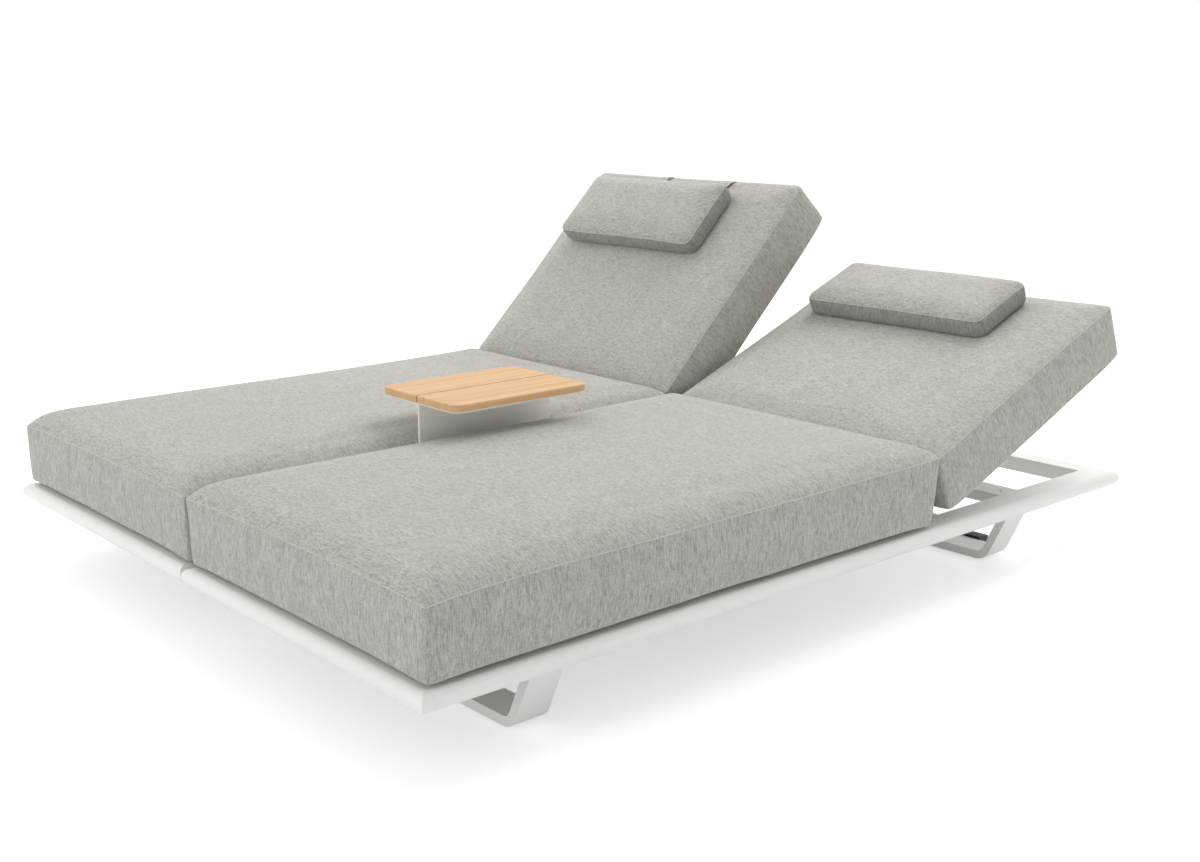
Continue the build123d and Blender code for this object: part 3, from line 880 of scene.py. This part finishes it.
    def _stuffed(self, points: np.ndarray, laid: np.ndarray) -> np.ndarray:
        """Adds the domed top, the drawn-in sides, the bulged band and the soft underside.

        Args:
            points: The rounded places.
            laid: The stretched places.

        Returns:
            The stuffed places.
        """
        u = 2.0 * laid[:, 0] / self.width
        v = 2.0 * laid[:, 1] / self.length
        w = 2.0 * laid[:, 2] / self.thickness
        top = np.clip(w, 0.0, 1.0)
        from_side = np.maximum(self.width / 2 - np.abs(laid[:, 0]), 1e-5)
        from_end = np.maximum(self.length / 2 - np.abs(laid[:, 1]), 1e-5)
        from_edge = (from_side ** -5.0 + from_end ** -5.0) ** -0.2
        crown = (1.0 - np.abs(u) ** CROWN_POWERS[0]) * (1.0 - np.abs(v) ** CROWN_POWERS[1])
        dome = self.crown * crown + self.shoulder * self._rise_from(from_edge)
        points[:, 2] += top ** 2 * dome
        near_x = np.clip(np.abs(u), 0.0, 1.0)
        near_y = np.clip(np.abs(v), 0.0, 1.0)
        foot = np.clip(-v, 0.0, 1.0) ** DIP_POWERS[0]
        points[:, 2] += top ** 2 * self.rise * np.clip(v, 0.0, 1.0) ** 2
        near_rim = np.exp(-(from_edge / DIP_REACH) ** 2)
        points[:, 2] -= top ** 2 * self.dip * foot * (0.4 + 0.6 * near_x ** DIP_POWERS[1]) * near_rim
        points[:, 0] -= np.sign(u) * near_x ** 3 * self.waist * (1.0 - v ** 2)
        points[:, 1] -= np.sign(v) * near_y ** 3 * self.waist * 0.6 * (1.0 - u ** 2)
        band = (1.0 - w ** 2) * self.bulge
        points[:, 0] += np.sign(u) * near_x ** 10 * band * (1.0 - v ** 4)
        points[:, 1] += np.sign(v) * near_y ** 10 * band * (1.0 - u ** 4)
        points[:, 1] -= np.clip(v, 0.0, 1.0) ** 20 * (1.0 - w) / 2 * self.lean
        points[:, 2] += (1.0 - w) / 2 * self.heel * np.clip(v, 0.0, 1.0) ** 2
        points[:, 0] -= np.sign(u) * near_x ** 4 * (1.0 - w) / 2 * self.tuck
        points[:, 1] -= np.sign(v) * near_y ** 4 * (1.0 - w) / 2 * self.tuck
        under = np.clip(-w, 0.0, 1.0) ** 3
        low_rim = np.maximum(near_x, near_y * self.end_sag) ** 6
        points[:, 2] += under * low_rim * self.sag * (1.0 - (near_x * near_y) ** 10)
        return points

    def _rippled(self, points: np.ndarray, laid: np.ndarray) -> np.ndarray:
        """Adds faint waves, as foam under cloth has, strongest on the band.

        Args:
            points: The stuffed places.
            laid: The stretched places.

        Returns:
            The rippled places.
        """
        chance = np.random.default_rng(self.seed)
        u, v, w = (laid / self.half).T
        wave = np.zeros(len(points))
        fine = np.zeros(len(points))
        for _ in range(BROAD_WAVES):
            kx, ky, kz = chance.normal(0.0, BROAD_PITCH, 3)
            phase = kx * laid[:, 0] + ky * laid[:, 1] + 2.0 * kz * laid[:, 2]
            wave += np.sin(phase + chance.uniform(*WAVE_START))
        for _ in range(FINE_WAVES):
            pitch = chance.uniform(*FINE_PITCH) * chance.choice([-1.0, 1.0])
            phase = pitch * (laid[:, 0] + laid[:, 1]) + 10.0 * laid[:, 2]
            fine += np.sin(phase + chance.uniform(*WAVE_START))
        side_x = np.clip(np.abs(u), 0.0, 1.0) ** 12
        side_y = np.clip(np.abs(v), 0.0, 1.0) ** 12
        push = BROAD_HEIGHT * wave + FINE_HEIGHT * fine * (1.0 - w ** 2)
        points[:, 0] += np.sign(u) * side_x * push
        points[:, 1] += np.sign(v) * side_y * push
        under = np.clip(-w, 0.0, 1.0) ** 2 * np.maximum(side_x, side_y)
        points[:, 2] += BASE_WAVE * np.abs(wave) * under
        points[:, 2] += TOP_WAVE * wave * np.clip(w, 0.0, 1.0) ** 2 * (1.0 - side_x) * (1.0 - side_y)
        return points

    def _outward(self, moved: np.ndarray, before: np.ndarray) -> np.ndarray:
        """Keeps the part of a movement that swells the top and the sides, and drops the rest.

        Args:
            moved: The movement, one row for each vertex.
            before: The places before it.

        Returns:
            What is left of the movement.
        """
        for axis in (0, 1):
            side = np.sign(before[:, axis])
            moved[:, axis] = side * np.maximum(side * moved[:, axis], 0.0)
        moved[:, 2] = np.maximum(moved[:, 2], 0.0) * np.clip(before[:, 2] / self.thickness * 4.0, 0.0, 1.0)
        return moved

    def _swell(self, piece: bpy.types.Object) -> None:
        """Lets cloth pressure swell the cushion, with its travel held to a few millimetres.

        Args:
            piece: The cushion, still about its own axes.
        """
        Shop.only(piece)
        before = Shop.points(piece)
        group = piece.vertex_groups.new(name="sewn")
        group.add(self.rim["top"] + self.rim["base"], SEAM_HOLD, "REPLACE")
        bpy.ops.object.modifier_add(type="CLOTH")
        cloth = piece.modifiers[-1]
        for key, value in CLOTH.items():
            setattr(cloth.settings, key, value)
        cloth.settings.uniform_pressure_force = self.pressure
        cloth.settings.vertex_group_mass = group.name
        cloth.settings.effector_weights.gravity = 0.0
        cloth.collision_settings.use_collision = False
        cloth.point_cache.frame_start = 1
        cloth.point_cache.frame_end = SWELL_FRAMES
        scene = bpy.context.scene
        for frame in range(1, SWELL_FRAMES + 1):
            scene.frame_set(frame)
        bpy.ops.object.modifier_apply(modifier=cloth.name)
        scene.frame_set(1)
        moved = self._outward(Shop.points(piece) - before, before)
        size = np.linalg.norm(moved, axis=1)
        held = self.swell * np.tanh(size / self.swell)
        moved *= (held / np.maximum(size, 1e-9))[:, None]
        Shop.set_points(piece, before + moved)
        piece.vertex_groups.clear()

    def build(self) -> bpy.types.Object:
        """Models the cushion about its own axes.

        Returns:
            The cushion's mesh object, its base at z 0 and its lower edge at y 0.
        """
        piece = self._grid_box()
        laid = self._lay_out(piece)
        self._mark_rims(laid)
        self._map_cloth(piece, laid)
        points = self._rounded(laid)
        points = self._stuffed(points, laid)
        points = self._rippled(points, laid)
        Shop.set_points(piece, points)
        self._swell(piece)
        Shop.apply_modifier(piece, "SUBSURF", levels=1, render_levels=1)
        Shop.smooth(piece)
        Shop.place(piece, Matrix.Translation((0.0, self.length / 2, self.thickness / 2)))
        return piece

    def seam(self, piece: bpy.types.Object, rim: str) -> bpy.types.Object:
        """Sews a thin folded edge along one rim of the finished cushion.

        Args:
            piece: The cushion, still about its own axes.
            rim: "top" or "base".

        Returns:
            The seam's mesh object.
        """
        points = Shop.points(piece)[self.rim[rim]]
        if rim == "base":
            points[:, 2] += self.seam_radius
        Shop.clear_selection()
        bpy.ops.curve.primitive_nurbs_circle_add()
        line = bpy.context.active_object
        line.name = f"{self.name}_{rim}_seam"
        curve = line.data
        curve.splines.clear()
        spline = curve.splines.new("NURBS")
        spline.points.add(len(points) - 1)
        for place, point in zip(spline.points, points):
            place.co = (*point, 1.0)
        spline.use_cyclic_u = True
        spline.order_u = 3
        curve.bevel_depth = self.seam_radius
        curve.bevel_resolution = 1
        curve.resolution_u = 2
        bpy.ops.object.convert(target="MESH")
        seam = bpy.context.active_object
        Shop.smooth(seam)
        return seam


@dataclass
class Upholstery:
    """All cushions, pillows and bands of both loungers. A pair is the right one's, then the left one's."""

    seat_widths: Pair = (0.786, 0.792)
    seat_aside: float = 0.0025  # from the seam between the loungers to a seat cushion
    seat_over: float = 0.0075  # how far it lies over the foot rail
    back_plump: float = 0.008  # how much thicker a back cushion is than its CAD solid
    back_sunk: float = 0.003  # how far its base lies under the solid's
    back_low: float = 0.0005  # how far its foot end lies below the solid's
    back_aside: Pair = (0.0, 0.018)  # how far it lies toward -X
    pillow_depths: Pair = (0.204, 0.212)
    pillow_low: Pair = (0.004, 0.010)  # how far a pillow's lower edge lies below the solid's
    pillow_lift: float = 0.005  # its base over the back cushion's crown
    pillow_aside: float = 0.006  # how far it lies toward -X
    band_aside: float = 0.122  # from the back cushion's middle to each band
    # painted shade: darkens the back cushions' bands, for the shade that falls on their sides
    back_tint: Colour = (0.96, 0.945, 0.96)
    # painted shade: darkens the pillows' bands, for the shade that falls on them under the domed top
    pillow_tint: Colour = (0.61, 0.60, 0.61)
    cushion_fill: float = 0.85
    pillow_fill: float = 0.7
    seat_cloth: bpy.types.Material = field(init=False)
    back_cloth: bpy.types.Material = field(init=False)
    pillow_cloth: bpy.types.Material = field(init=False)
    thread: bpy.types.Material = field(init=False)

    def __post_init__(self) -> None:
        """Makes the cloths, with painted shade on the back and pillow bands, and the thread."""
        self.seat_cloth = LoungerWeave().material()
        self.back_cloth = LoungerWeave(name="back_weave", band_tint=self.back_tint).material()
        self.pillow_cloth = LoungerWeave(name="pillow_weave", band_tint=self.pillow_tint).material()
        self.thread = SeamThread().material()

    def _finish(self, cushion: BoxCushion, cloth: bpy.types.Material, node: str, body: str,
                place: Matrix) -> None:
        """Builds one cushion, sews its seams and puts all in place on its body.

        Args:
            cushion: The cushion's sizes.
            cloth: The cloth that covers it.
            node: The CAD node that it stands for.
            body: The CAD body that it rides on.
            place: From the cushion's own axes to the CAD frame.
        """
        piece = cushion.build()
        seams = [cushion.seam(piece, rim) for rim in cushion.sewn]
        Shop.dress(piece, cloth)
        Shop.place(piece, place)
        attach(piece, body)
        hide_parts(node)
        for seam in seams:
            Shop.dress(seam, self.thread)
            Shop.place(seam, place)
            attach(seam, body)
        LOG.info("%s: %d faces", piece.name, len(piece.data.polygons))

    def seats(self) -> None:
        """The two seat cushions."""
        for side in Side:
            width = side.pick(self.seat_widths)
            cushion = BoxCushion(side.node("seat_pad"), width=width, length=1.280, thickness=0.140,
                                 crown=0.008, shoulder=0.028, base_edge=0.009, base_corner=0.022,
                                 dip=0.009, bulge=0.003, lean=0.014, rise=0.006,
                                 seed=3 + int(side.sign))
            middle = side.sign * (width / 2 + self.seat_aside)
            place = Matrix.Translation((middle, SEAT_FOOT - self.seat_over, SEAT_BOTTOM))
            node = side.node("seat_cushion")
            self._finish(cushion, self.seat_cloth, node, "frame", place)

    def backs(self) -> None:
        """The two back cushions, each raised to its own angle."""
        for side in Side:
            thickness = BACK_THICKNESS + self.back_plump
            cushion = BoxCushion(side.node("back_pad"), width=0.777, length=0.684,
                                 thickness=thickness, crown=0.005, shoulder=0.011, base_edge=0.009,
                                 corner=0.014, base_corner=0.014, sag=-0.005, end_sag=0.0,
                                 lean=-0.007, rise=0.003, heel=0.006, seed=11 + int(side.sign))
            middle = side.sign * CUSHION_MIDDLE - side.pick(self.back_aside)
            base = HINGE_Z + BACK_RISE - self.back_sunk
            flat = Matrix.Translation((middle, side.back_start() - self.back_low, base))
            node = side.node("back_cushion")
            place = side.raised() @ flat
            self._finish(cushion, self.back_cloth, node, node, place)

    def pillows(self) -> None:
        """The two headrest pillows."""
        for side in Side:
            depth = side.pick(self.pillow_depths)
            cushion = BoxCushion(side.node("headrest"), width=0.520, length=depth, thickness=0.053,
                                 crown=0.007, shoulder=0.016, shoulder_width=0.070, edge=0.009,
                                 base_edge=0.019, corner=0.022,
                                 base_corner=0.028, waist=0.003, bulge=0.006, spacing=0.007,
                                 sag=0.002, tuck=0.001, sewn=("top",), swell=0.004, pressure=4.0,
                                 seed=21 + int(side.sign), seam_radius=0.0010)
            rise = HINGE_Z + BACK_RISE + BACK_THICKNESS + CUSHION_CROWN + self.pillow_lift
            low = side.back_start() + side.pillow_from_fold - side.pick(self.pillow_low)
            flat = Matrix.Translation((side.sign * side.pillow_x - self.pillow_aside, low, rise))
            node = side.node("pillow")
            place = side.raised() @ flat
            self._finish(cushion, self.pillow_cloth, node, node, place)

    def straps(self) -> None:
        """The bands that hold each pillow, slack over the back's top edge."""
        web = LoungerWeave(name="strap_weave", thread=0.0006).material()
        places = (("inner", CUSHION_MIDDLE - self.band_aside), ("outer", CUSHION_MIDDLE + self.band_aside))
        for side in Side:
            for word, x in places:
                band = HeadrestBand(f"{side.node('headrest_band')}_{word}", side, x)
                piece = band.build()
                Shop.dress(piece, web)
                Shop.place(piece, side.raised())
                side.node("back_cushion")
                side.node("pillow")
                band.reach()
                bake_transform(piece)
                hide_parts(side.node("pillow_straps"))
                band.length()
                side.node("back_pad")
                LOG.info("%s: %d faces", piece.name, len(piece.data.polygons))


@dataclass
class HeadrestBand:
    """A flat band from under the pillow's upper edge over the back's edge and down behind."""

    name: str
    side: Side
    x: float
    width: float = 0.033
    thickness: float = 0.0016
    slack: float = 0.0030
    leaves: float = 0.665  # from the fold to where it leaves the back cushion
    joins: float = 0.19  # from the pillow's lower edge to where it joins the pillow

    def _route(self) -> list[Pair]:
        """Points that the band follows over the flat back.

        Returns:
            Each point's Y and Z, from the pillow to behind the cushion.
        """
        start = self.side.back_start()
        end = start + BACK_LENGTH
        level = HINGE_Z + BACK_RISE + BACK_THICKNESS
        pillow = start + self.side.pillow_from_fold + PILLOW_DEPTH
        gap = end - pillow
        return [
            (pillow - 0.030, level + 0.0260),
            (pillow - 0.004, level + 0.0250),
            (pillow + gap * 0.42, level + 0.0235 + self.slack),
            (pillow + gap * 0.75, level + 0.0180 + self.slack),
            (end - 0.001, level + 0.0110 + self.slack),
            (end + 0.0095, level + 0.0020),
            (end + 0.0095, level - 0.018),
            (end + 0.0070, level - 0.050),
        ]

    def reach(self) -> tuple[Vector, Vector]:
        """Where the band leaves the cushion, and where it joins the pillow.

        Returns:
            The two places, in the photographed pose.
        """
        start = self.side.back_start()
        level = HINGE_Z + BACK_RISE + BACK_THICKNESS
        x = self.side.sign * self.x
        end = Vector((x, start + self.leaves, level))
        pillow = Vector((x, start + self.side.pillow_from_fold + self.joins, level))
        turn = self.side.raised()
        return turn @ end, turn @ pillow

    def length(self) -> float:
        """The band's length along its route."""
        route = self._route()
        return sum(math.dist(a, b) for a, b in zip(route, route[1:]))

    def build(self) -> bpy.types.Object:
        """Models the band along its route over the flat back.

        Returns:
            The band's mesh object, in the flat back's place.
        """
        route = self._route()
        Shop.clear_selection()
        bpy.ops.mesh.primitive_grid_add(x_subdivisions=4, y_subdivisions=len(route) - 1, size=1.0)
        piece = bpy.context.active_object
        piece.name = self.name
        piece.data.name = self.name
        points = Shop.points(piece)
        index = np.rint((points[:, 1] + 0.5) * (len(route) - 1)).astype(int)
        rows = np.array(route)[index]
        across = points[:, 0] * self.width
        placed = np.column_stack([self.side.sign * self.x + across, rows[:, 0], rows[:, 1]])
        Shop.set_points(piece, placed)
        layer = Shop.uv_layer(piece)
        run = np.concatenate([[0.0], np.cumsum([math.dist(a, b) for a, b in zip(route, route[1:])])])
        for loop in piece.data.loops:
            layer.data[loop.index].uv = (across[loop.vertex_index], run[index[loop.vertex_index]])
        Shop.apply_modifier(piece, "SUBSURF", levels=2, render_levels=2)
        Shop.apply_modifier(piece, "SOLIDIFY", thickness=self.thickness, offset=0.0)
        Shop.smooth(piece, 40.0)
        return piece


# CAD pieces that stay


@dataclass
class FrameWork:
    """Rails, legs, bars, backrest frames and fasteners, carried over from the CAD model."""

    frame: dict
    grain_shift: float = 3.7  # how far the left plank's grain lies from the right one's

    def dress(self) -> None:
        """Gives every CAD node that shows its procedural finish."""
        slot_of = {part["node"]: part["material_slot"] for part in self.frame["record"]["subparts"]}
        finishes = {
            "powder_coat": PowderCoat().material(),
            "glides": GLIDE_PLASTIC.material(),
            "screws": SCREW_METAL.material(),
            "pins": PIN_STEEL.material(),
        }
        planks = {
            "teak_plank_right": OiledTeak().material(),
            "teak_plank_left": OiledTeak(shift=self.grain_shift).material(),
        }
        for name, node in self.frame["nodes"].items():
            finish = planks.get(name) or finishes.get(slot_of.get(name, ""))
            if finish is None:
                continue
            Shop.dress(node, finish)
            LOG.info("%s: %s", name, finish.name)


# Studio


@dataclass(frozen=True)
class Lamp:
    """One soft rectangular lamp."""

    name: str
    place: Place
    aim: Place
    size: Pair
    watts: float

    def build(self) -> None:
        """Adds the lamp, pointing at its aim."""
        Shop.clear_selection()
        bpy.ops.object.light_add(type="AREA", location=self.place)
        lamp = bpy.context.active_object
        lamp.name = self.name
        lamp.data.shape = "RECTANGLE"
        lamp.data.size, lamp.data.size_y = self.size
        lamp.data.energy = self.watts
        lamp.visible_camera = False
        way = Vector(self.aim) - Vector(self.place)
        lamp.rotation_euler = way.to_track_quat("-Z", "Y").to_euler()


class Studio:
    """Pale floor, soft light and the camera at the photograph's angle."""

    CAMERA_PLACE: Place = (2.5002, -2.1446, 1.0548)
    CAMERA_TURN: Place = (90.0 - 13.344, -0.066, 48.6)
    LENS: float = FOCAL_PIXELS / PHOTO_WIDTH * SENSOR_WIDTH
    FAR_CLIP: float = 200.0
    FLOOR_RADIUS: float = 40.0
    FLOOR_LEVEL: float = -0.0004
    FLOOR_TONE: float = 0.88  # what lights the object from below
    SHOWN_TONE: float = 0.69  # what the camera sees, with the glow added
    SHOWN_GLOW: float = 0.55
    SURROUND: float = 0.72
    SURROUND_DIM: float = 0.35  # how much dimmer it is to the right
    LAMPS: tuple[Lamp, ...] = (
        Lamp("head_high", (0.0, 2.8, 3.6), (0.0, 0.0, 0.2), (2.6, 2.6), 82.0),
        Lamp("left_high", (-3.4, 0.2, 3.0), (-0.4, 0.0, 0.2), (2.4, 2.4), 28.0),
        Lamp("foot_low", (-0.8, -3.8, 0.8), (-0.2, -1.0, 0.2), (2.8, 1.0), 18.0),
        Lamp("right_low", (3.6, 0.6, 0.3), (0.8, 0.0, 0.2), (3.0, 0.5), 13.0),
    )

    def camera(self) -> None:
        """Sets up the camera."""
        Shop.clear_selection()
        bpy.ops.object.camera_add(location=self.CAMERA_PLACE)
        camera = bpy.context.active_object
        camera.name = "camera"
        camera.rotation_euler = [math.radians(a) for a in self.CAMERA_TURN]
        camera.data.sensor_fit = "HORIZONTAL"
        camera.data.sensor_width = SENSOR_WIDTH
        camera.data.lens = self.LENS
        camera.data.clip_end = self.FAR_CLIP
        bpy.context.scene.camera = camera

    @staticmethod
    def _seen(bench: Bench) -> Wire:
        """Tells the rays that show the surround itself: to the camera, in gloss and through glass.

        Args:
            bench: The tree of the floor's or the world's material.

        Returns:
            1 on those rays and 0 on all others.
        """
        camera = bench.add("ShaderNodeLightPath", None, None, "Is Camera Ray")
        glossy = camera.beside("Is Glossy Ray")
        return camera.larger(glossy).larger(camera.beside("Is Transmission Ray"))

    @staticmethod
    def _grey(tone: float) -> tuple[float, float, float, float]:
        """A grey of one tone."""
        return (tone, tone, tone, 1.0)

    def floor(self) -> None:
        """Adds the floor, which carries the shadow and shows as white elsewhere."""
        Shop.clear_selection()
        bpy.ops.mesh.primitive_circle_add(vertices=96, radius=self.FLOOR_RADIUS, fill_type="NGON",
                                          location=(0.0, 0.0, self.FLOOR_LEVEL))
        floor = bpy.context.active_object
        floor.name = "floor"
        bench = Bench("floor_white")
        diffuse = bench.add("ShaderNodeBsdfDiffuse", None, {"Color": self._grey(self.FLOOR_TONE)})
        shadowed = bench.add("ShaderNodeBsdfDiffuse", None, {"Color": self._grey(self.SHOWN_TONE)})
        white = {"Color": self._grey(1.0), "Strength": self.SHOWN_GLOW}
        glow = bench.add("ShaderNodeEmission", None, white)
        both = bench.add("ShaderNodeAddShader", None, {0: shadowed, 1: glow})
        shown = bench.add("ShaderNodeMixShader", None, {0: self._seen(bench), 1: diffuse, 2: both})
        bench.add_output(shown)
        Shop.dress(floor, bench.owner)

    def world(self) -> None:
        """Sets a pale surround, a little dimmer on the right, that the camera sees as white."""
        world = bpy.data.worlds.new("surround")
        bpy.context.scene.world = world
        bench = Bench(world)
        white = self._grey(1.0)
        way = bench.add("ShaderNodeTexCoord", None, None, "Generated")
        right = bench.add("ShaderNodeSeparateXYZ", None, {0: way}, "X")
        level = self.SURROUND - right * self.SURROUND_DIM
        dim = bench.add("ShaderNodeBackground", None, {"Color": white, "Strength": level})
        plain = bench.add("ShaderNodeBackground", None, {"Color": white, "Strength": 1.0})
        shown = bench.add("ShaderNodeMixShader", None, {0: self._seen(bench), 1: dim, 2: plain})
        bench.add_output(shown, "ShaderNodeOutputWorld")

    def build(self) -> None:
        """Sets up the whole studio."""
        bpy.context.scene.view_settings.view_transform = "Standard"
        self.camera()
        self.floor()
        self.world()
        for lamp in self.LAMPS:
            lamp.build()


def main() -> None:
    """Builds the looks around the CAD frame."""
    logging.basicConfig(level=logging.INFO, format="%(name)s %(message)s")
    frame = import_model()
    Studio().build()
    FrameWork(frame).dress()
    upholstery = Upholstery()
    upholstery.seats()
    upholstery.backs()
    upholstery.pillows()
    upholstery.straps()


if __name__ == "__main__":
    main()
